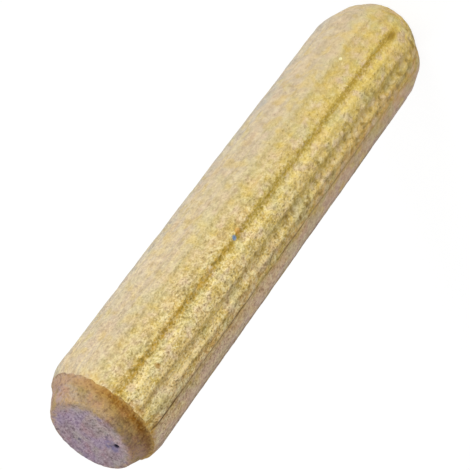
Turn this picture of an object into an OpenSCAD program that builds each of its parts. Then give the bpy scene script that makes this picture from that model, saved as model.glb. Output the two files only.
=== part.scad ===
// Fluted dowel pin: a short hardwood rod that joins two boards, half its length in each.
// Its side carries shallow flutes that lean a little round the rod, where a die pressed them
// in, and both ends are bevelled so that it starts easily in a drilled hole.
// It stands on its bottom end: +Z runs along the rod, and the origin is at the centre of
// that end's flat face.

/* [Rod] */
// Diameter over the crests between the flutes
pin_d = 8; // [6:0.5:12]
// Length from one end face to the other
pin_len = 40; // [25:1:60]

/* [Ends] */
// Length of the top bevel along the rod
top_bevel_len = 2; // [1.2:0.1:3]
// How far the top bevel comes in from the side
top_bevel_in = 1.4; // [0.6:0.1:2]
// Length of the bottom bevel along the rod
bottom_bevel_len = 2.2; // [1.2:0.1:3]
// How far the bottom bevel comes in from the side
bottom_bevel_in = 1.4; // [0.6:0.1:2]
// Radius of the worn shoulder between a bevel and the side
shoulder_r = 1.8; // [0.5:0.1:3]
// Radius of the worn rim between a bevel and its end face
rim_r = 0.3; // [0.1:0.05:0.6]

/* [Flutes] */
// Number of flutes around the rod
flute_count = 14; // [8:1:16]
// Width of a flute at its mouth
flute_w = 0.9; // [0.5:0.05:1.1]
// Depth of a flute below the crests
flute_depth = 0.15; // [0.1:0.05:0.3]
// Angle that a flute leans round the rod from one end to the other
flute_twist = 6.5; // [0:0.5:10]
// Where the first flute crosses mid-length, as an angle from +X
first_flute_angle = -97; // [-180:1:180]

/* [Hidden] */

pin_r = pin_d / 2;

// The half outline's corners, as [distance from the axis, height]
bottom_centre = [0, 0];
bottom_rim = [pin_r - bottom_bevel_in, 0];
bottom_shoulder = [pin_r, bottom_bevel_len];
top_shoulder = [pin_r, pin_len - top_bevel_len];
top_rim = [pin_r - top_bevel_in, pin_len];
top_centre = [0, pin_len];

// A flute is the mark of a round tool that spans flute_w and bites flute_depth
flute_edge_x = sqrt(pin_r ^ 2 - (flute_w / 2) ^ 2);
flute_sag = flute_edge_x - (pin_r - flute_depth);
flute_tool_r = ((flute_w / 2) ^ 2 + flute_sag ^ 2) / (2 * flute_sag);
flute_tool_x = pin_r - flute_depth + flute_tool_r;
flute_lean = atan(pin_r * flute_twist * PI / 180 / pin_len);
flute_pitch = 360 / flute_count;
// The tool runs out past both ends by its own radius
flute_tool_len = pin_len + 2 * flute_tool_r;

function unit(v) = v / norm(v);

// What comes off a convex corner of the outline when it is rounded to the radius r. The cutter
// starts beyond the corner, so that no edge of it lies along the outline.
module corner_tip(corner, before, after, r) {
    to_before = unit(before - corner);
    to_after = unit(after - corner);
    inward = unit(to_before + to_after);
    half_angle = acos(to_before * to_after) / 2;
    touch = r / tan(half_angle);
    centre = inward * r / sin(half_angle);
    translate(corner)
        difference() {
            polygon([-inward * r, to_before * touch, centre, to_after * touch]);
            translate(centre) circle(r = r, $fn = 180);
        }
}

// Half of the rod's outline, bevelled at both ends, with its four corners eased
module half_outline() {
    difference() {
        polygon([bottom_centre, bottom_rim, bottom_shoulder, top_shoulder, top_rim, top_centre]);
        corner_tip(bottom_rim, bottom_centre, bottom_shoulder, rim_r);
        corner_tip(bottom_shoulder, bottom_rim, top_shoulder, shoulder_r);
        corner_tip(top_shoulder, bottom_shoulder, top_rim, shoulder_r);
        corner_tip(top_rim, top_shoulder, top_centre, rim_r);
    }
}

// One straight groove along the side, leaned so that it follows the twist and dies out
// in the bevel at each end
module flute(angle) {
    rotate(angle)
        translate([flute_tool_x, 0, pin_len / 2])
            rotate([-flute_lean, 0, 0])
                cylinder(r = flute_tool_r, h = flute_tool_len, center = true, $fn = 96);
}

module dowel_pin() {
    color("burlywood")
        difference() {
            rotate_extrude($fn = 180) half_outline();
            for (i = [0 : flute_count - 1])
                flute(first_flute_angle + i * flute_pitch);
        }
}

dowel_pin();
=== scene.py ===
import math
import bpy
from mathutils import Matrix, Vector


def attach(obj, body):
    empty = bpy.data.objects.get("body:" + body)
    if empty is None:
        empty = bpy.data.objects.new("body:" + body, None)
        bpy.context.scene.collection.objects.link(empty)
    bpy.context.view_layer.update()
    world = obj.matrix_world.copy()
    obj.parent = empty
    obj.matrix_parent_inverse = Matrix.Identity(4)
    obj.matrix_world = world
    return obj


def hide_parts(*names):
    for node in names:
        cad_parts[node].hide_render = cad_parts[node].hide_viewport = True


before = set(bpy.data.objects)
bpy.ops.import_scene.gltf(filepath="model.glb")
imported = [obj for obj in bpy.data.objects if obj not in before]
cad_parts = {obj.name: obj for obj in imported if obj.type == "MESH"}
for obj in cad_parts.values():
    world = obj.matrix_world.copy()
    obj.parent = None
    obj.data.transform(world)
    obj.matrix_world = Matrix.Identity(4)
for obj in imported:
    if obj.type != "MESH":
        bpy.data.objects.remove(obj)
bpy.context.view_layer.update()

# ---------------------------------------------------------------------------------------------
# Camera. A long lens looks down on the standing pin from 35 degrees and is rolled on its axis, so
# that the pin's upper end points to the lower left of the view.
# ---------------------------------------------------------------------------------------------
camera_data = bpy.data.cameras.new("camera")
camera_data.lens = 179.44
camera_data.sensor_width = 36
camera = bpy.data.objects.new("camera", camera_data)
camera.location = (0.0000139, -0.1240489, 0.1092602)
camera.rotation_euler = (math.radians(-48.7086), math.radians(28.9592), math.radians(-156.9629))
bpy.context.scene.collection.objects.link(camera)
bpy.context.scene.camera = camera

# ---------------------------------------------------------------------------------------------
# The dowel pin: one rod of beech. It is drawn through a die, rolled between toothed wheels that
# press fourteen shallow flutes into it, and sawn to length. Its lower end is tumbled, and its upper
# end is turned in a conical cutter. The form comes first, and then its two finishes.
# ---------------------------------------------------------------------------------------------
mm = 0.001
pin_radius = 4 * mm
pin_length = 40 * mm
pin_centre = (0, 0, pin_length / 2)
spare_length = 1.3 * mm
rod_length = pin_length + 2 * spare_length
flute_count = 14
columns_per_flute = 16
rod_columns = flute_count * columns_per_flute
column_angle = 360 / rod_columns
flute_tool_radius = 0.875 * mm
flute_tool_place = 4.725 * mm
flute_lean = 6.5
first_flute_angle = -97 - flute_lean / 2


def pick(piece):
    """Select one piece and nothing else, and make it the active one."""
    bpy.ops.object.select_all(action="DESELECT")
    piece.select_set(True)
    bpy.context.view_layer.objects.active = piece


def select_vertices(piece, wanted):
    """Select the vertices of a piece whose place passes the test, and nothing else."""
    bpy.ops.object.mode_set(mode="EDIT")
    bpy.ops.mesh.select_mode(type="VERT")
    bpy.ops.mesh.select_all(action="DESELECT")
    bpy.ops.object.mode_set(mode="OBJECT")
    piece.data.vertices.foreach_set("select", [bool(wanted(v.co)) for v in piece.data.vertices])
    bpy.ops.object.mode_set(mode="EDIT")


def press_in(piece, wanted, press):
    """Press the wanted vertices in towards the pin's axis, to a part of their distance from it."""
    select_vertices(piece, wanted)
    bpy.ops.transform.resize(value=(press, press, 1), center_override=pin_centre)
    bpy.ops.object.mode_set(mode="OBJECT")


def cut_across(piece, cuts):
    """Cut the long faces of the rod across, into equal lengths."""
    bpy.ops.object.mode_set(mode="EDIT")
    bpy.ops.mesh.select_mode(type="EDGE")
    bpy.ops.mesh.select_all(action="DESELECT")
    bpy.ops.object.mode_set(mode="OBJECT")
    points = piece.data.vertices
    for edge in piece.data.edges:
        start, end = (points[i].co for i in edge.vertices)
        edge.select = (start.xy - end.xy).length < 0.001 * mm
    bpy.ops.object.mode_set(mode="EDIT")
    bpy.ops.mesh.subdivide(number_cuts=cuts)
    bpy.ops.object.mode_set(mode="OBJECT")


def apply_modifiers(piece):
    bpy.context.view_layer.objects.active = piece
    for modifier in list(piece.modifiers):
        bpy.ops.object.modifier_apply(modifier=modifier.name)


bpy.ops.object.select_all(action="DESELECT")
bpy.ops.mesh.primitive_cylinder_add(
    vertices=rod_columns, radius=pin_radius, depth=rod_length, end_fill_type="NGON",
    location=pin_centre, rotation=(0, 0, math.radians(first_flute_angle)))
rod = bpy.context.object
bpy.ops.object.transform_apply(location=True, rotation=True, scale=True)

# The flutes: every column of points near the middle of a flute is pressed in to the round bottom
# that a toothed wheel leaves.
for step in range(columns_per_flute // 2):
    away = math.radians(step * column_angle)
    reach = flute_tool_place * math.sin(away)
    if reach >= flute_tool_radius:
        break
    floor_radius = flute_tool_place * math.cos(away) - math.sqrt(flute_tool_radius ** 2 - reach ** 2)
    if floor_radius >= pin_radius:
        break

    def in_column(place):
        turn = math.degrees(math.atan2(place.y, place.x)) - first_flute_angle
        column = round(turn / column_angle) % columns_per_flute
        return min(column, columns_per_flute - column) == step

    press_in(rod, in_column, floor_radius / pin_radius)

# Two flutes are torn along one side, where a burr on the wheel dragged at the fibres. Each torn
# column: its angle, and its radius as torn and as rolled.
torn_columns = (
    (first_flute_angle + 3 * column_angle, 3.895 * mm, 3.91 * mm),
    (first_flute_angle - 720 / flute_count + 4 * column_angle, 3.94 * mm, 4 * mm))
for torn_angle, torn_radius, rolled_radius in torn_columns:

    def in_torn_column(place):
        off_column = math.degrees(math.atan2(place.y, place.x)) - torn_angle
        return abs((off_column + 180) % 360 - 180) < column_angle / 2

    press_in(rod, in_torn_column, torn_radius / rolled_radius)

# Cut across twice, into 19 lengths and each of them into 19: short enough for the grain.
cuts = 18
cut_across(rod, cuts)
cut_across(rod, cuts)
lean = rod.modifiers.new("lean", "SIMPLE_DEFORM")
lean.deform_method = "TWIST"
lean.deform_axis = "Z"
lean.angle = math.radians(flute_lean * rod_length / pin_length)
apply_modifiers(rod)

# The ends are turned down to the bevels, which meet the shank in a soft shoulder. The flutes run
# out where the bevel goes deeper than they do.
# Each end: how far the bevel goes in, how far along, and the rounding of its shoulder.
top_bevel = (0.72 * mm, 2.5 * mm, 2.2 * mm)
bottom_bevel = (0.9 * mm, 3.3 * mm, 2 * mm)
past_end = 1.5 * mm
shoulder_steps = 12
shoulder_drift_reach = 4.5 * mm


def turned_form(name, outline, around):
    """A solid of revolution from its outline: pairs of radius and height, from axis to axis."""
    bpy.ops.object.select_all(action="DESELECT")
    bpy.ops.mesh.primitive_plane_add(size=mm)
    form = bpy.context.object
    form.name = name
    bpy.ops.object.mode_set(mode="EDIT")
    bpy.ops.mesh.select_mode(type="VERT")
    bpy.ops.mesh.select_all(action="SELECT")
    bpy.ops.mesh.merge(type="CENTER")
    bpy.ops.transform.translate(value=(outline[0][0], 0, outline[0][1]))
    for (radius, height), (next_radius, next_height) in zip(outline, outline[1:]):
        to_next = (next_radius - radius, 0, next_height - height)
        bpy.ops.mesh.extrude_region_move(TRANSFORM_OT_translate={"value": to_next})
    bpy.ops.mesh.select_all(action="SELECT")
    bpy.ops.mesh.spin(steps=around, angle=2 * math.pi, center=(0, 0, 0), axis=(0, 0, 1))
    bpy.ops.mesh.select_all(action="SELECT")
    bpy.ops.mesh.remove_doubles(threshold=0.001 * mm)
    bpy.ops.mesh.normals_make_consistent(inside=False)
    bpy.ops.object.mode_set(mode="OBJECT")
    return form


def shoulder_outline(bevel_in, bevel_length, rounding):
    """Radius and depth below the end, from the axis out over bevel and shoulder to the shank."""
    slope = math.atan2(bevel_in, bevel_length)
    points = [(0, -past_end), (pin_radius - bevel_in - past_end * math.tan(slope), -past_end)]
    middle = bevel_length + rounding * math.tan(slope / 2)
    for i in range(shoulder_steps + 1):
        a = slope * (1 - i / shoulder_steps)
        points.append((pin_radius - rounding * (1 - math.cos(a)), middle - rounding * math.sin(a)))
    points.append((pin_radius + 0.02 * mm, middle + 0.4 * mm))
    return points


outline = [(r, pin_length - d) for r, d in shoulder_outline(*top_bevel)]
outline += [(r, d) for r, d in reversed(shoulder_outline(*bottom_bevel))]
shoulders = turned_form("shoulders", outline, rod_columns)
# Both bevels run a little off the rod's axis.
shoulder_drifts = (
    (-past_end, (-0.23 * mm, 0, 0)),
    (pin_length + past_end, (-0.32 * mm, -0.1 * mm, 0)))
for tip, drift in shoulder_drifts:
    select_vertices(shoulders, lambda place: abs(place.z - tip) < 0.1 * mm)
    bpy.ops.transform.translate(
        value=drift, use_proportional_edit=True, proportional_edit_falloff="LINEAR",
        proportional_size=shoulder_drift_reach)
bpy.ops.object.mode_set(mode="OBJECT")
turn_down = rod.modifiers.new("turn_down", "SHRINKWRAP")
turn_down.target = shoulders
turn_down.wrap_method = "NEAREST_SURFACEPOINT"
turn_down.wrap_mode = "INSIDE"
apply_modifiers(rod)
bpy.data.objects.remove(shoulders)


def grain_texture(name, size, depth, contrast):
    texture = bpy.data.textures.new(name, "CLOUDS")
    texture.noise_scale = size
    texture.noise_depth = depth
    texture.noise_basis = "IMPROVED_PERLIN"
    texture.contrast = contrast
    return texture


def grain_frame(name, across, along):
    """The stretched space of a grain texture: its unit is so many mm across and along the pin."""
    marker = bpy.data.objects.new(name, None)
    marker.scale = (across * mm, across * mm, along * mm)
    bpy.context.scene.collection.objects.link(marker)
    bpy.context.view_layer.update()
    return marker


def press_grain(piece, texture, marker, deep, group="", level=1.0, direction="NORMAL"):
    """Press a grain texture into a piece, so deep, where its vertex group says."""
    grain = piece.modifiers.new(texture.name, "DISPLACE")
    grain.texture = texture
    grain.texture_coords = "OBJECT"
    grain.texture_coords_object = marker
    grain.strength = deep
    grain.mid_level = level
    grain.direction = direction
    grain.vertex_group = group


# Rough fibre: strongest between two turns, on the side that was rolled hardest, weaker in the pin's
# lower part, and weak near the ends. The turn is in degrees, 0 at the front.
rough_from_turn = -22
rough_to_turn = 46
rough_from_height = 6 * mm
rough_full_height = 24 * mm
rough = rod.vertex_groups.new(name="rough")
for vertex in rod.data.vertices:
    place = vertex.co
    turn = math.degrees(math.atan2(-place.x, -place.y))
    hard = 1 / (1 + math.exp(-(turn - rough_from_turn) / 9)) / (1 + math.exp((turn - rough_to_turn) / 4))
    up = (place.z - rough_from_height) / (rough_full_height - rough_from_height)
    hard *= 0.15 + 0.85 * min(1, max(0, up))
    from_end = min(place.z - 1.5 * mm, pin_length - place.z)
    hard = (0.3 + 0.7 * hard) * min(1, max(0.3, (from_end - 1 * mm) / (0.7 * mm)))
    rough.add([vertex.index], hard, "REPLACE")

fibre_space = grain_frame("fibre_space", 1, 1.2)
wave_space = grain_frame("wave_space", 1, 3)
press_grain(rod, grain_texture("wander", 0.5, 1, 1.2), wave_space, 0.2 * mm, "rough", 0.5, "X")
press_grain(rod, grain_texture("fibres", 0.25, 1, 1.5), fibre_space, 0.07 * mm, "rough")
press_grain(rod, grain_texture("waves", 1.1, 1, 1.2), wave_space, 0.05 * mm)
apply_modifiers(rod)

# The cutter form: what the saw and the conical cutter leave of the rod. It takes the pressed skin
# off the upper bevel and leaves a torn edge at the shoulder.
# Each end: the radius of the face that is left, and that of the bevel at its edge.
top_cut = (2.7 * mm, 3.62 * mm)
bottom_cut = (2.64 * mm, 3.64 * mm)
rim_radius = 0.3 * mm
rim_steps = 4
face_step = 0.13 * mm
ring_count = 224
edge_depth = 1.66 * mm
edge_width = 0.1 * mm
edge_steps = 3
edge_step_out = 0.08 * mm
lip_steps = 6
lip_step_out = 0.16 * mm
lip_step_down = 0.2 * mm


def cutter_outline(face_radius, edge_radius):
    """Radius and depth below the end, from the middle of the end face out past the torn edge."""
    slope = math.atan2(edge_radius - face_radius, edge_depth)
    rim_turn = math.pi / 2 - slope
    flat = face_radius - rim_radius * math.tan(rim_turn / 2)
    steps = round(flat / face_step)
    points = [(flat * i / steps, 0) for i in range(steps + 1)]
    for i in range(1, rim_steps + 1):
        a = rim_turn * i / rim_steps
        points.append((flat + rim_radius * math.sin(a), rim_radius * (1 - math.cos(a))))
    start_radius, start_depth = points[-1]
    steps = round((edge_depth - start_depth) / math.cos(slope) / face_step)
    for i in range(1, steps + 1):
        part = i / steps
        points.append((start_radius + (edge_radius - start_radius) * part,
                       start_depth + (edge_depth - start_depth) * part))
    for i in range(1, edge_steps + 1):
        points.append((edge_radius + edge_step_out * i, edge_depth + edge_width * i / edge_steps))
    outer_radius, outer_depth = points[-1]
    for i in range(1, lip_steps + 1):
        points.append((outer_radius + lip_step_out * i, outer_depth + lip_step_down * i))
    return points


outline = [(r, pin_length - d) for r, d in cutter_outline(*top_cut)]
outline += [(r, d) for r, d in reversed(cutter_outline(*bottom_cut))]
cutter = turned_form("cutter", outline, ring_count)
# Both faces sit a little to one side and aren't quite round. Each end: its height, how far its face
# has drifted, and how wide it is for its depth.
face_oval = 1.07
face_drift_reach = 2.8 * mm
face_drifts = (
    (0, (0.14 * mm, 0.05 * mm, 0), 1 / face_oval),
    (pin_length, (-0.155 * mm, -0.25 * mm, 0), face_oval))
for end, drift, oval in face_drifts:
    select_vertices(cutter, lambda place: abs(place.z - end) < 0.05 * mm)
    bpy.ops.transform.translate(
        value=drift, use_proportional_edit=True, proportional_edit_falloff="LINEAR",
        proportional_size=face_drift_reach)
    bpy.ops.transform.resize(
        value=(oval, 1, 1), center_override=(0, 0, end), use_proportional_edit=True,
        proportional_edit_falloff="LINEAR", proportional_size=edge_depth)
# The upper edge, with the lip past it, stands a little askew: it lies deeper at the back, and a touch
# deeper on one side.
for axis, lean_angle in (("X", 4.5), ("Y", -2)):
    select_vertices(cutter, lambda place: abs(pin_length - place.z - edge_depth - 0.5 * mm) < 0.6 * mm)
    bpy.ops.transform.rotate(
        value=math.radians(lean_angle), orient_axis=axis,
        center_override=(0, 0, pin_length - edge_depth), use_proportional_edit=True,
        proportional_edit_falloff="LINEAR", proportional_size=edge_depth)
# The pith, a little off the middle of the end face, has shrunk into a small pit.
pith = Vector((-1.77 * mm, -1.08 * mm, pin_length))
pith_depth = 0.22 * mm
pith_reach = 0.24 * mm
nearest = min((v.co - pith).length for v in cutter.data.vertices)
select_vertices(cutter, lambda place: (place - pith).length < nearest + 0.001 * mm)
bpy.ops.transform.translate(
    value=(0, 0, -pith_depth), use_proportional_edit=True, proportional_edit_falloff="SMOOTH",
    proportional_size=pith_reach)
bpy.ops.object.mode_set(mode="OBJECT")
# The edge is torn, more at the upper end than at the lower.
torn_reach = 0.9 * mm
edge_group = cutter.vertex_groups.new(name="torn_edge")
for vertex in cutter.data.vertices:
    depth = min(vertex.co.z, pin_length - vertex.co.z)
    how_torn = 1 if vertex.co.z > pin_length / 2 else 0.3
    near = max(0, 1 - abs(depth - edge_depth) / torn_reach) * how_torn
    edge_group.add([vertex.index], near, "REPLACE")
torn_space = grain_frame("torn_space", 1, 1)
edge_space = grain_frame("edge_space", 1, 4)
press_grain(cutter, grain_texture("torn", 0.3, 2, 1.4), torn_space, 0.06 * mm)
press_grain(cutter, grain_texture("edge", 0.6, 1, 1.4), edge_space, 0.3 * mm, "torn_edge", 0.5, "Z")
apply_modifiers(cutter)


def srgb(red, green, blue):
    """A colour as a paint chart gives it, 0 to 255, in the renderer's linear values."""
    linear = [((c / 255 + 0.055) / 1.055) ** 2.4 if c > 10 else c / 255 / 12.92
              for c in (red, green, blue)]
    return (*linear, 1)


def put(tree, kind, sockets=None, **settings):
    """Add a node, with its settings, and its sockets either linked or set."""
    node = tree.nodes.new(kind)
    for name, value in settings.items():
        setattr(node, name, value)
    for name, value in (sockets or {}).items():
        if isinstance(value, bpy.types.NodeSocket):
            tree.links.new(value, node.inputs[name])
        else:
            node.inputs[name].default_value = value
    return node


def calc(tree, operation, first, second=0.0, third=0.0):
    return put(tree, "ShaderNodeMath", {0: first, 1: second, 2: third}, operation=operation).outputs[0]


def product(tree, first, *others):
    """Several masks or values multiplied."""
    for other in others:
        first = calc(tree, "MULTIPLY", first, other)
    return first


def off(tree, value, place):
    """How far a value is from a place, either way."""
    return calc(tree, "ABSOLUTE", calc(tree, "SUBTRACT", value, place))


def move(tree, vector, operation, other):
    """A vector and another one added, subtracted or multiplied."""
    return put(tree, "ShaderNodeVectorMath", {0: vector, 1: other}, operation=operation).outputs[0]


def length(tree, vector):
    return put(tree, "ShaderNodeVectorMath", {0: vector}, operation="LENGTH").outputs["Value"]


def along_axis(tree, vector, axis):
    """How far a place lies along an axis."""
    sockets = {0: vector, 1: axis}
    return put(tree, "ShaderNodeVectorMath", sockets, operation="DOT_PRODUCT").outputs["Value"]


def noise(tree, vector, scale, detail=2.0, roughness=0.5):
    sockets = {"Vector": vector, "Scale": scale, "Detail": detail, "Roughness": roughness}
    return put(tree, "ShaderNodeTexNoise", sockets).outputs["Fac"]


def rise(tree, value, low, high, start=0.0, end=1.0):
    """A soft step from start to end as the value goes from low to high."""
    sockets = {"Value": value, "From Min": low, "From Max": high, "To Min": start, "To Max": end}
    return put(tree, "ShaderNodeMapRange", sockets, interpolation_type="SMOOTHSTEP").outputs["Result"]


def band(tree, value, start, full, still, gone):
    """A soft-edged band: 1 while the value is between full and still, 0 before start and past gone."""
    return product(tree, rise(tree, value, start, full), rise(tree, value, gone, still))


def mix(tree, amount, first, second, blend="MIX"):
    return put(tree, "ShaderNodeMix", {0: amount, 6: first, 7: second}, data_type="RGBA",
               blend_type=blend).outputs[2]


def lay(tree, colour, amount, strength, coat, blend="MIX"):
    """Lay a coat of colour over what is there, by a mask and a strength from 0 to 1."""
    return mix(tree, product(tree, amount, strength), colour, coat, blend)


def stretch(tree, vector, along, shift=0.0):
    """Stretch a pattern along the pin: its features get so many times longer than wide."""
    sockets = {"Vector": vector, "Location": (shift, shift, shift), "Scale": (1, 1, 1 / along)}
    return put(tree, "ShaderNodeMapping", sockets).outputs[0]


# Places on the pin: in mm, the turn round the axis in degrees, and the turn away from the nearest
# flute.
places = bpy.data.node_groups.new("places_on_the_pin", "ShaderNodeTree")
places.interface.new_socket("Millimetres", in_out="OUTPUT", socket_type="NodeSocketVector")
for name in ("Turn", "Height", "Flute"):
    places.interface.new_socket(name, in_out="OUTPUT", socket_type="NodeSocketFloat")
coordinates = put(places, "ShaderNodeTexCoord").outputs["Object"]
in_mm = put(places, "ShaderNodeVectorMath", {0: coordinates, "Scale": 1000}, operation="SCALE").outputs[0]
axes = put(places, "ShaderNodeSeparateXYZ", {0: in_mm}).outputs
away_x = calc(places, "MULTIPLY", axes["X"], -1)
away_y = calc(places, "MULTIPLY", axes["Y"], -1)
turn = calc(places, "DEGREES", calc(places, "ARCTAN2", away_x, away_y))
leaning = calc(places, "MULTIPLY_ADD", axes["Z"], flute_lean / (pin_length / mm), 90 + first_flute_angle)
half_pitch = 180 / flute_count
flute = calc(places, "WRAP", calc(places, "ADD", turn, leaning), half_pitch, -half_pitch)
put(places, "NodeGroupOutput", {"Millimetres": in_mm, "Turn": turn, "Height": axes["Z"], "Flute": flute})

# The fine grain of beech: broad casts of colour, patches of several fibre bundles, flecks that are
# single bundles, a fine noise of fibre ends, and scattered pits.
grain = bpy.data.node_groups.new("beech_grain", "ShaderNodeTree")
grain.interface.new_socket("Millimetres", in_out="INPUT", socket_type="NodeSocketVector")
grain.interface.new_socket("Along", in_out="INPUT", socket_type="NodeSocketFloat")
for name in ("Hue", "Cast", "Patch", "Fleck", "Fine", "Pit"):
    grain.interface.new_socket(name, in_out="OUTPUT", socket_type="NodeSocketFloat")
given = put(grain, "NodeGroupInput").outputs
longer = put(grain, "ShaderNodeCombineXYZ", {0: 1.0, 1: 1.0, 2: calc(grain, "DIVIDE", 1, given["Along"])})
spot = move(grain, given["Millimetres"], "MULTIPLY", longer.outputs[0])
wander = put(grain, "ShaderNodeTexNoise", {"Vector": spot, "Scale": 3.0}).outputs["Color"]
wander = put(grain, "ShaderNodeVectorMath", {0: wander, "Scale": 0.3}, operation="SCALE").outputs[0]
loose = move(grain, spot, "ADD", wander)
cells = put(grain, "ShaderNodeTexVoronoi", {"Vector": loose, "Scale": 6.5}).outputs["Color"]
tones = put(grain, "ShaderNodeSeparateXYZ", {0: cells}).outputs
holes = put(grain, "ShaderNodeTexVoronoi", {"Vector": loose, "Scale": 4.2}).outputs
chosen = put(grain, "ShaderNodeSeparateXYZ", {0: holes["Color"]}).outputs[0]
pit = product(grain, rise(grain, holes["Distance"], 0.4, 0.1), rise(grain, chosen, 0.45, 0.8))
elsewhere = move(grain, spot, "ADD", (31, 17, 5))
put(grain, "NodeGroupOutput", {
    "Hue": noise(grain, spot, 1.35, 1.5, 0.45), "Cast": noise(grain, elsewhere, 0.9, 1.5, 0.45),
    "Patch": noise(grain, spot, 3.4, 2, 0.5), "Fleck": tones[0], "Fine": noise(grain, spot, 8.5, 1, 0.5),
    "Pit": pit})


def new_finish(name, along, rows=(1, 1, 1)):
    """A material with places and grain: how long its flecks are, and a squeeze of the grain."""
    finish = bpy.data.materials.new(name)
    finish.use_nodes = True
    tree = finish.node_tree
    here = put(tree, "ShaderNodeGroup", node_tree=places).outputs
    squeezed = move(tree, here["Millimetres"], "MULTIPLY", rows)
    sockets = {"Millimetres": squeezed, "Along": along}
    flecks = put(tree, "ShaderNodeGroup", sockets, node_tree=grain).outputs
    return finish, tree, here, flecks, tree.nodes["Principled BSDF"]


def across(tree, turn):
    """The sine of the turn: -1 on the pin's one side, 1 on the other, and the same front and back."""
    return calc(tree, "SINE", calc(tree, "RADIANS", turn))


def turn_ramp(tree, side, stops):
    """Colours from side to side: pairs of a turn in degrees and the colour, the outer two first."""
    even = put(tree, "ShaderNodeMapRange", {"Value": side, "From Min": -1, "From Max": 1})
    node = put(tree, "ShaderNodeValToRGB", {0: even.outputs["Result"]})
    elements = node.color_ramp.elements
    for i, (turn, colour) in enumerate(stops):
        position = (math.sin(math.radians(turn)) + 1) / 2
        element = elements[i] if i < 2 else elements.new(position)
        element.position = position
        element.color = srgb(*colour)
    return node.outputs["Color"]


def tint(tree, colour, flecks, where, casts):
    """Lay casts of colour, each where one of the grain's values goes from 0.5 to a limit."""
    for kind, limit, strength, cast in casts:
        colour = lay(tree, colour, rise(tree, flecks[kind], 0.5, limit, 0, strength), where, srgb(*cast))
    return colour


def mark(tree, spot, place, size, along=1.0):
    """A soft round mark at a place on the pin, in mm; along stretches it along the pin."""
    from_mark = move(tree, spot, "SUBTRACT", place)
    away = length(tree, move(tree, from_mark, "MULTIPLY", (1, 1, 1 / along)))
    return rise(tree, away, size, size * 0.45)


# The marks' distance from the axis, in mm: just under the crests.
skin_radius = 3.9


def on_skin(turn, height):
    """The place on the shank at a turn in degrees and a height in mm."""
    turn = math.radians(turn)
    return (-skin_radius * math.sin(turn), -skin_radius * math.cos(turn), height)


# The torn edge stands askew, so it lies in a leaning plane: its direction, and its height in mm.
edge_up = (0.035, 0.079, 1)
edge_height = 38.33


def above_edge(tree, spot):
    """How far a place lies above the torn edge, in mm."""
    return calc(tree, "SUBTRACT", along_axis(tree, spot, edge_up), edge_height)


# Pressed beech, the skin of the shank and of the lower bevel. Turns are in degrees, 0 at the front,
# and heights in mm.
pressed_beech, tree, here, flecks, shader = new_finish("pressed_beech", 1.3)
spot = here["Millimetres"]
turn = here["Turn"]
height = here["Height"]
wobble = calc(tree, "MULTIPLY_ADD", noise(tree, stretch(tree, spot, 9), 0.9), 0.3, -0.15)
side = calc(tree, "ADD", across(tree, turn), wobble)
# The colour by side is partly the wood's own and partly painted light: the greyer, less yellow sides are
# a painted sheen at a glancing look, and the darker side at positive turns is painted shade, turned from
# the lamp.
colour = turn_ramp(tree, side, (
    (-80, (190, 184, 174)), (78, (176, 150, 144)), (-62, (207, 190, 165)), (-42, (201, 183, 154)),
    (-34, (202, 184, 150)), (-24, (220, 203, 150)), (-16, (210, 188, 131)), (-8, (208, 184, 122)),
    (6, (242, 219, 137)), (20, (239, 212, 136)), (34, (250, 218, 127)), (48, (234, 187, 110))))
# The pin's lower half, where the skin is less rough, is more olive.
olive = product(tree, rise(tree, height, 34, 8), rise(tree, turn, -34, 2), rise(tree, turn, 66, 44))
colour = lay(tree, colour, olive, 0.75, srgb(245, 241, 200), "MULTIPLY")
lower_ridge = band(tree, turn, 28, 34, 38, 46)
colour = lay(tree, colour, lower_ridge, rise(tree, height, 34, 8, 0, 0.42), srgb(182, 154, 70))
# Long streaks of the growth layers, clearest round the back, and casts of colour: straw, pinkish
# cream, grey-green, orange.
back = rise(tree, calc(tree, "ABSOLUTE", turn), 84, 112)
streaked = calc(tree, "MAXIMUM", back, rise(tree, height, 6, 28, 0.1, 0.4))
streak = noise(tree, stretch(tree, spot, 18), 2.8, 3)
colour = lay(tree, colour, rise(tree, streak, 0.5, 0.64, 0, 0.6), streaked, srgb(226, 198, 122))
colour = lay(tree, colour, rise(tree, streak, 0.47, 0.36, 0, 0.6), streaked, srgb(212, 184, 164))
hair = noise(tree, stretch(tree, spot, 22, 3), 8, 1)
colour = lay(tree, colour, rise(tree, hair, 0.55, 0.72, 0, 0.5), streaked, srgb(242, 224, 182))
colour = lay(tree, colour, rise(tree, hair, 0.45, 0.28, 0, 0.5), streaked, srgb(194, 164, 114))
rays = noise(tree, stretch(tree, spot, 7, 11), 5, 1)
colour = lay(tree, colour, rise(tree, rays, 0.62, 0.74, 0, 0.6), back, srgb(176, 132, 84))
casts = product(tree, rise(tree, turn, -45, 5, 0.45, 1), rise(tree, turn, 130, 80, 0.45, 1))
colour = tint(tree, colour, flecks, casts, (
    ("Hue", 0.3, 0.85, (220, 190, 94)), ("Hue", 0.7, 0.75, (226, 198, 166)),
    ("Cast", 0.3, 0.6, (206, 196, 138)), ("Cast", 0.7, 0.5, (230, 196, 132))))
# The rougher side is blotched dark and pale, where the wheel's teeth slipped.
blotch = put(tree, "ShaderNodeMapping", {"Vector": spot, "Scale": (1, 1, 1.1)}).outputs[0]
blotch = noise(tree, blotch, 1.7, 1.5)
blotched = product(tree, rise(tree, turn, 10, 32, 0.15, 1), rise(tree, turn, 54, 42),
                   rise(tree, turn, -2, 8), rise(tree, height, 32, 18, 0.2, 1))
colour = lay(tree, colour, rise(tree, blotch, 0.5, 0.34, 0, 0.8), blotched, srgb(164, 134, 56))
colour = lay(tree, colour, rise(tree, blotch, 0.52, 0.68, 0, 0.5), blotched, srgb(244, 222, 164))
# Past the third flute the skin is pinker.
pinker = band(tree, turn, 54, 64, 84, 100)
colour = lay(tree, colour, pinker, rise(tree, height, 4, 30, 0.16, 0.32), srgb(255, 216, 208))
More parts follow.
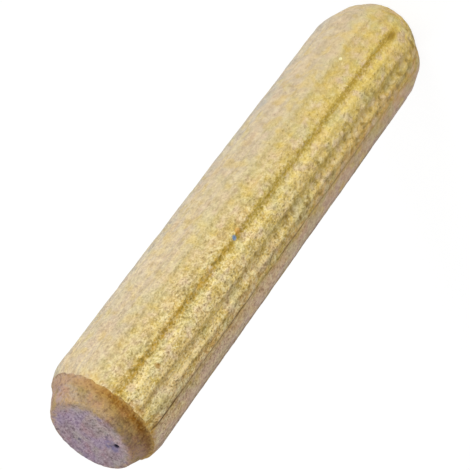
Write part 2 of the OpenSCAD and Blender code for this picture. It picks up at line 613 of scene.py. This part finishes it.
# Soft clouds on the smooth side.
cloud = noise(tree, stretch(tree, spot, 1.3, 17), 1.9, 1)
smooth_zone = rise(tree, turn, -22, -46)
dim = rise(tree, cloud, 0.5, 0.3, 0, 0.11)
clear = rise(tree, cloud, 0.5, 0.7, 0, 0.22)
colour = lay(tree, colour, dim, smooth_zone, srgb(152, 130, 96), "MULTIPLY")
colour = lay(tree, colour, clear, smooth_zone, srgb(240, 226, 196))
# Light and dark of the fibres: loudest where the skin was torn up, quieter on the smooth side.
rough_zone = product(tree, rise(tree, turn, -40, 14), rise(tree, turn, 68, 44, 0.6, 1),
                     rise(tree, height, 2, 30, 0.45, 1))
loud = calc(tree, "MULTIPLY_ADD", rough_zone, 0.5, 0.35)
loud = product(tree, loud, rise(tree, height, 0, 30, 0.6, 1))
sharp = product(tree, loud, rise(tree, height, 2, 34, 0.45, 1.2))
pale = srgb(255, 240, 188)
umber = srgb(134, 107, 46)
for kind, low, high, strength, zone, coat, blend in (
        ("Patch", 0.53, 0.7, 0.66, loud, pale, "MIX"),
        ("Fleck", 0.6, 1.0, 0.4, loud, pale, "MIX"),
        ("Fine", 0.52, 0.72, 0.7, sharp, pale, "MIX"),
        ("Patch", 0.47, 0.3, 0.44, loud, umber, "MULTIPLY"),
        ("Fleck", 0.4, 0.0, 0.3, loud, umber, "MULTIPLY"),
        ("Fine", 0.48, 0.28, 0.5, sharp, umber, "MULTIPLY")):
    colour = lay(tree, colour, rise(tree, flecks[kind], low, high, 0, strength), zone, coat, blend)
colour = lay(tree, colour, flecks["Pit"], product(tree, rough_zone, 0.7), srgb(140, 108, 42))
# Ochre crumbs in the flutes, where the wheel's teeth crushed and stained the wood. They lie on the wall
# of each flute that is turned from the lamp, so they are partly painted shade. The flute that took the
# tooth hardest is the darkest.
crumbs = noise(tree, stretch(tree, spot, 1.3, 5), 6.0, 3, 0.6)
crumbs_and_flute_shade = rise(tree, off(tree, here["Flute"], -4.6), 8, 0)
crumbs_and_flute_shade = rise(tree, calc(tree, "MULTIPLY_ADD", crumbs_and_flute_shade, 0.3, crumbs), 0.55, 0.92)
main_flute = rise(tree, off(tree, turn, 3), 16, 8)
in_flute = calc(tree, "MULTIPLY_ADD", main_flute, 0.55, 0.4)
in_flute = product(tree, in_flute, rise(tree, off(tree, turn, 15), 48, 30, 0.15, 1),
                   rise(tree, height, 1, 4))
stain_and_flute_shade = mix(tree, rise(tree, flecks["Patch"], 0.6, 0.38), srgb(205, 162, 52), srgb(156, 124, 28))
stain_and_flute_shade = mix(tree, rise(tree, height, 29, 21, 0, 0.6), stain_and_flute_shade, srgb(160, 138, 36))
stain_and_flute_shade = mix(tree, rise(tree, height, 26, 6, 0, 0.7), stain_and_flute_shade, srgb(200, 164, 56))
colour = lay(tree, colour, crumbs_and_flute_shade, in_flute, stain_and_flute_shade)
# On the smoother side the flutes' far walls are polished to pale lines.
broken = rise(tree, noise(tree, stretch(tree, spot, 10, 7), 1.2), 0.35, 0.6)
polished = product(tree, rise(tree, off(tree, here["Flute"], -2.2), 1.8, 0.2), broken,
                   rise(tree, turn, -8, -18), rise(tree, height, 14, 32))
colour = lay(tree, colour, polished, 0.35, srgb(248, 226, 170))
# Between the next two flutes the ridge has a painted highlight along its near side, which faces the lamp,
# and painted shade along its far side.
uneven = rise(tree, noise(tree, stretch(tree, spot, 2.5, 9), 1.8, 2), 0.35, 0.6)
ridge = product(tree, band(tree, turn, 28, 33, 53, 58), uneven)
painted_lit_side = rise(tree, off(tree, here["Flute"], 5.3), 3.4, 1.2)
painted_lit_side = product(tree, painted_lit_side, rise(tree, height, 14, 34, 0.1, 1), ridge)
painted_shaded_side = product(tree, rise(tree, off(tree, here["Flute"], 10.6), 3.2, 1.6), ridge)
colour = lay(tree, colour, painted_lit_side, 0.3, srgb(255, 240, 184))
colour = lay(tree, colour, painted_shaded_side, 0.3, srgb(154, 130, 74), "MULTIPLY")
# Beyond the third flute, on the side turned from the lamp, a dark band of painted shade runs along the
# pin, broken up by the streaks.
shade_band_turn = calc(tree, "MULTIPLY_ADD", calc(tree, "SUBTRACT", streak, 0.5), 50, turn)
painted_shade_band = product(tree, band(tree, shade_band_turn, 70, 86, 88, 108), rise(tree, hair, 0.35, 0.6, 1, 0.6))
colour = lay(tree, colour, painted_shade_band, rise(tree, height, 36, 4, 0.45, 0.65), srgb(124, 102, 80))
# The torn line along the third flute.
torn = rise(tree, noise(tree, stretch(tree, spot, 5, 4), 1.6), 0.3, 0.55, 0.15, 0.85)
crack = product(tree, rise(tree, off(tree, here["Flute"], -6.2), 1.7, 0.4),
                rise(tree, off(tree, turn, 52), 12, 9), torn, rise(tree, height, 38.7, 38.3))
colour = lay(tree, colour, crack, rise(tree, height, 2, 30, 0.15, 1), srgb(112, 80, 40))
# Marks of its own: the crushed end of the main flute, a burnt fibre, an orange fleck with a blue one
# beside it, and a bright one. Each: turn, height, size, length for its width, strength and colour.
for mark_turn, mark_height, size, along, strength, coat in (
        (8, 3.1, 0.5, 2.6, 0.5, (186, 152, 50)),
        (8, 3.15, 0.3, 2, 0.6, (152, 116, 20)),
        (13.1, 35.4, 0.28, 1, 0.7, (168, 116, 24)),
        (-0.5, 23.95, 0.27, 1.3, 0.65, (212, 150, 50)),
        (0.7, 24.5, 0.24, 1, 1, (128, 154, 188)),
        (-20, 7.3, 0.15, 1.4, 0.9, (252, 244, 190))):
    marked = mark(tree, spot, on_skin(mark_turn, mark_height), size, along)
    colour = lay(tree, colour, marked, strength, srgb(*coat))
# Just under the torn edge the skin is tanned.
tanned = calc(tree, "MULTIPLY_ADD", flecks["Hue"], 0.5, above_edge(tree, spot))
tanned = product(tree, rise(tree, tanned, -0.25, 0.1), rise(tree, flecks["Patch"], 0.6, 0.4, 0.3, 1))
tan_side = rise(tree, off(tree, turn, -30), 18, 6, 0, 0.3)
tan_side = calc(tree, "ADD", tan_side, rise(tree, turn, 0, 34, 0.08, 0.6))
colour = lay(tree, colour, tanned, tan_side, srgb(200, 150, 50))
relief = calc(tree, "MULTIPLY_ADD", flecks["Patch"], 1.2, product(tree, flecks["Fine"], 0.8))
relief = calc(tree, "SUBTRACT", relief, product(tree, flecks["Pit"], 0.4))
relief = calc(tree, "SUBTRACT", relief, product(tree, crack, 0.5))
bump = put(tree, "ShaderNodeBump", {"Height": relief, "Strength": 1.0, "Distance": 0.07 * mm})
tree.links.new(colour, shader.inputs["Base Color"])
tree.links.new(bump.outputs[0], shader.inputs["Normal"])
tree.links.new(rise(tree, flecks["Patch"], 0.35, 0.65, 0.85, 0.6), shader.inputs["Roughness"])
shader.inputs["Specular IOR Level"].default_value = 0.25

# Cut beech, on the upper bevel and both faces. The fibre ends stand in short rows, a little longer
# one way than the other.
cut_beech, tree, here, flecks, shader = new_finish("cut_beech", 1.0, (1, 0.7, 1))
spot = here["Millimetres"]
turn = here["Turn"]
height = here["Height"]
mottle = noise(tree, spot, 1.2, 3)
waver = calc(tree, "MULTIPLY_ADD", noise(tree, spot, 2.2, 2), 0.8, -0.4)
side = across(tree, turn)
from_edge = above_edge(tree, spot)
# The colour by side is partly painted shade: the bevel grows darker and browner towards the side turned
# from the lamp.
colour = turn_ramp(tree, side, (
    (-75, (186, 158, 156)), (80, (178, 144, 132)), (-55, (188, 170, 148)), (-20, (186, 156, 116)),
    (0, (178, 144, 90)), (20, (156, 121, 72)), (40, (132, 95, 42))))
colour = tint(tree, colour, flecks, 1.0, (
    ("Hue", 0.3, 0.6, (148, 128, 56)), ("Hue", 0.7, 0.5, (194, 138, 108)),
    ("Cast", 0.3, 0.45, (118, 86, 36)), ("Cast", 0.7, 0.4, (204, 174, 124))))
greyed = product(tree, rise(tree, from_edge, 0.65, 1.2), rise(tree, calc(tree, "ABSOLUTE", turn), 62, 40))
colour = lay(tree, colour, greyed, 0.24, srgb(188, 172, 154))
# The cutter's burnish, deepest just over the torn edge, and partly painted shade of the step under the
# proud skin, darkest on the side turned from the lamp.
burnish_and_step_shade = turn_ramp(tree, side, (
    (-75, (190, 158, 138)), (80, (172, 130, 98)), (-55, (192, 156, 122)), (-20, (184, 138, 74)),
    (0, (162, 110, 24)), (20, (160, 103, 14)), (40, (152, 98, 10))))
level = calc(tree, "MULTIPLY_ADD", waver, 0.4, from_edge)
near_edge = product(tree, rise(tree, level, 0.8, 0.25), rise(tree, mottle, 0.3, 0.6, 0.7, 1))
colour = mix(tree, near_edge, colour, burnish_and_step_shade)
# The scorch at the edge is partly painted shade of the step.
scorch_and_step_shade = product(tree, rise(tree, level, 0.5, 0.2), rise(tree, side, -0.4, 0.85),
                   rise(tree, noise(tree, spot, 1.7, 2), 0.3, 0.56, 0.3, 1))
colour = lay(tree, colour, scorch_and_step_shade, 0.6, srgb(118, 78, 4))
# Frayed skin hangs over the edge in places, its pale fringe partly a painted highlight along the edge.
frayed = rise(tree, calc(tree, "MULTIPLY_ADD", flecks["Patch"], 0.7, from_edge), 0.5, 0.3)
fringe_and_highlight = mix(tree, flecks["Fleck"], srgb(222, 192, 124), srgb(196, 150, 66))
fringe_and_highlight = mix(tree, rise(tree, side, -0.4, -0.75), fringe_and_highlight, srgb(204, 176, 150))
colour = lay(tree, colour, frayed, 0.7, fringe_and_highlight)
# The lower end is painted paler: painted light against the shade of the floor beside it.
colour = mix(tree, rise(tree, height, 20, 10), colour, srgb(234, 208, 146))
# The end grain: lilac-grey, weathered and mottled, over the saw cut.
from_middle = length(tree, move(tree, move(tree, spot, "ADD", (0.24, 0.08, 0)), "MULTIPLY", (1, 1, 0)))
on_face = calc(tree, "ADD", from_middle, product(tree, waver, 0.6))
on_face = calc(tree, "MULTIPLY_ADD", calc(tree, "SUBTRACT", flecks["Patch"], 0.5), 0.5, on_face)
on_face = product(tree, rise(tree, on_face, 2.96, 2.26), rise(tree, off(tree, height, 20), 19.2, 19.6))
end_grain = mix(tree, rise(tree, mottle, 0.35, 0.65), srgb(172, 149, 161), srgb(176, 153, 156))
to_back = along_axis(tree, spot, (0, 1, 0))
end_grain = mix(tree, rise(tree, to_back, 0.2, 2.4, 0, 0.9), end_grain, srgb(156, 136, 156))
end_grain = mix(tree, rise(tree, to_back, -0.2, -2.0, 0, 0.9), end_grain, srgb(194, 172, 164))
end_grain = tint(tree, end_grain, flecks, 1.0, (
    ("Hue", 0.32, 0.7, (178, 168, 160)), ("Hue", 0.68, 0.6, (190, 150, 158)),
    ("Cast", 0.68, 0.7, (168, 146, 178)), ("Cast", 0.32, 0.35, (150, 132, 138))))
colour = mix(tree, on_face, colour, end_grain)
# Fibre ends, light and dark.
bright = mix(tree, on_face, srgb(198, 162, 94), srgb(216, 198, 204))
grit = mix(tree, on_face, srgb(150, 118, 70), srgb(126, 104, 112))
soft = rise(tree, on_face, 0, 1, 0.9, 1)
for kind, low, lowest, high, highest, light, dark in (
        ("Patch", 0.47, 0.3, 0.53, 0.7, 0.44, 0.38),
        ("Fleck", 0.4, 0.0, 0.6, 1.0, 0.25, 0.3),
        ("Fine", 0.48, 0.28, 0.52, 0.72, 0.36, 0.36)):
    colour = lay(tree, colour, rise(tree, flecks[kind], high, highest, 0, light), soft, bright)
    colour = lay(tree, colour, rise(tree, flecks[kind], low, lowest, 0, dark), soft, grit, "MULTIPLY")
colour = lay(tree, colour, product(tree, flecks["Pit"], on_face), 0.3, srgb(104, 92, 112))
# The pith with its bluish stain, and three smaller dark spots.
stained = mark(tree, spot, (-1.57, -0.8, 40), 0.74)
patchy = rise(tree, flecks["Patch"], 0.62, 0.38, 0.35, 0.85)
colour = lay(tree, colour, stained, patchy, srgb(132, 122, 160))
for place, size, strength in (
        ((-0.98, -1.28, 40), 0.16, 0.5), ((0.27, 0.84, 40), 0.17, 0.6), ((-1.5, -0.75, 40), 0.15, 0.5)):
    colour = lay(tree, colour, mark(tree, spot, place, size), strength, srgb(70, 62, 96))
colour = mix(tree, mark(tree, spot, (-1.77, -1.08, 39.9), 0.23), colour, srgb(22, 18, 44))
relief = calc(tree, "MULTIPLY_ADD", flecks["Patch"], 0.7, flecks["Fine"])
bump = put(tree, "ShaderNodeBump", {"Height": relief, "Strength": 1.0, "Distance": 0.06 * mm})
tree.links.new(colour, shader.inputs["Base Color"])
tree.links.new(bump.outputs[0], shader.inputs["Normal"])
shader.inputs["Roughness"].default_value = 0.8
shader.inputs["Specular IOR Level"].default_value = 0.25

# The rod is cut by the cutter form, and each face keeps the finish of the solid it comes from.
rod.data.materials.append(pressed_beech)
cutter.data.materials.append(cut_beech)
sharpen = rod.modifiers.new("sharpen", "BOOLEAN")
sharpen.operation = "INTERSECT"
sharpen.solver = "EXACT"
sharpen.material_mode = "TRANSFER"
sharpen.object = cutter
apply_modifiers(rod)
bpy.data.objects.remove(cutter)
for marker in (fibre_space, wave_space, torn_space, edge_space):
    bpy.data.objects.remove(marker)
# The grain is pressed inwards only, so the pin is brought back to its full size.
full_size = (2 * pin_radius, 2 * pin_radius, pin_length)
lowest = [min(v.co[i] for v in rod.data.vertices) for i in range(3)]
highest = [max(v.co[i] for v in rod.data.vertices) for i in range(3)]
middle = [(low + high) / 2 for low, high in zip(lowest, highest)]
pick(rod)
bpy.ops.object.mode_set(mode="EDIT")
bpy.ops.mesh.select_all(action="SELECT")
bpy.ops.transform.translate(value=(-middle[0], -middle[1], pin_length / 2 - middle[2]))
bpy.ops.transform.resize(
    value=[size / (high - low) for size, low, high in zip(full_size, lowest, highest)],
    center_override=pin_centre)
bpy.ops.object.mode_set(mode="OBJECT")
# The lower end was only tumbled: its bevel has the finish of the skin.
skin_slot = 0
lower_bevel_from = 0.05 * mm
lower_bevel_to = 3 * mm
pick(rod)
bpy.ops.object.mode_set(mode="EDIT")
bpy.ops.mesh.select_mode(type="FACE")
bpy.ops.mesh.select_all(action="DESELECT")
bpy.ops.object.mode_set(mode="OBJECT")
for face in rod.data.polygons:
    face.select = lower_bevel_from < face.center.z < lower_bevel_to
bpy.ops.object.mode_set(mode="EDIT")
rod.active_material_index = skin_slot
bpy.ops.object.material_slot_assign()
bpy.ops.object.mode_set(mode="OBJECT")
rod.name = "dowel"
pick(rod)
bpy.ops.object.shade_smooth_by_angle(angle=math.radians(60))
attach(rod, "root")
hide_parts("dowel_pin")

# ---------------------------------------------------------------------------------------------
# Studio: a pale floor, one wide soft lamp that stands low in front, on the +X side, a smaller lamp
# behind, and an even pale sky.
# ---------------------------------------------------------------------------------------------


def seen_by_camera(tree):
    """1 for the rays that the camera sees a surface by: straight, mirrored or through glass."""
    ray = put(tree, "ShaderNodeLightPath").outputs
    bounced = calc(tree, "MAXIMUM", ray["Is Glossy Ray"], ray["Is Transmission Ray"])
    return calc(tree, "MAXIMUM", ray["Is Camera Ray"], bounced)


bpy.ops.object.select_all(action="DESELECT")
bpy.ops.mesh.primitive_plane_add(size=3, location=(0, 0, 0))
floor = bpy.context.object
floor.name = "floor"
paint = bpy.data.materials.new("floor_paint")
paint.use_nodes = True
tree = paint.node_tree
shade = tree.nodes["Principled BSDF"]
shade.inputs["Base Color"].default_value = (0.8, 0.8, 0.8, 1)
shade.inputs["Roughness"].default_value = 0.9
glow = put(tree, "ShaderNodeEmission", {"Strength": 1.12})
glowing = product(tree, seen_by_camera(tree), 0.8)
painted = put(tree, "ShaderNodeMixShader", {0: glowing, 1: shade.outputs[0], 2: glow.outputs[0]})
tree.links.new(painted.outputs[0], tree.nodes["Material Output"].inputs["Surface"])
floor.data.materials.append(paint)

lit_place = Vector((0, 0, 0.02))
key_turn = math.radians(-50)
key_rise = math.radians(14)
key_away = 0.5
key_data = bpy.data.lights.new("key", "AREA")
key_data.shape = "DISK"
key_data.size = 0.2
key_data.energy = 1.33
key = bpy.data.objects.new("key", key_data)
key.location = (key_away * math.cos(key_turn) * math.cos(key_rise),
                key_away * math.sin(key_turn) * math.cos(key_rise),
                lit_place.z + key_away * math.sin(key_rise))
key.rotation_euler = (lit_place - key.location).to_track_quat("-Z", "Y").to_euler()
bpy.context.scene.collection.objects.link(key)

fill_data = bpy.data.lights.new("fill", "AREA")
fill_data.shape = "DISK"
fill_data.size = 0.12
fill_data.energy = 0.5
fill = bpy.data.objects.new("fill", fill_data)
fill.location = (-0.08, 0.45, 0.2)
fill.rotation_euler = (lit_place - fill.location).to_track_quat("-Z", "Y").to_euler()
bpy.context.scene.collection.objects.link(fill)

world = bpy.data.worlds.new("studio")
world.use_nodes = True
tree = world.node_tree
sky = tree.nodes["Background"]
sky.inputs["Color"].default_value = (1, 1, 1, 1)
sky.inputs["Strength"].default_value = 0.55
backdrop = put(tree, "ShaderNodeBackground", {"Strength": 1.0})
seen = seen_by_camera(tree)
shown = put(tree, "ShaderNodeMixShader", {0: seen, 1: sky.outputs[0], 2: backdrop.outputs[0]})
tree.links.new(shown.outputs[0], tree.nodes["World Output"].inputs["Surface"])
bpy.context.scene.world = world
bpy.context.scene.view_settings.view_transform = "Standard"
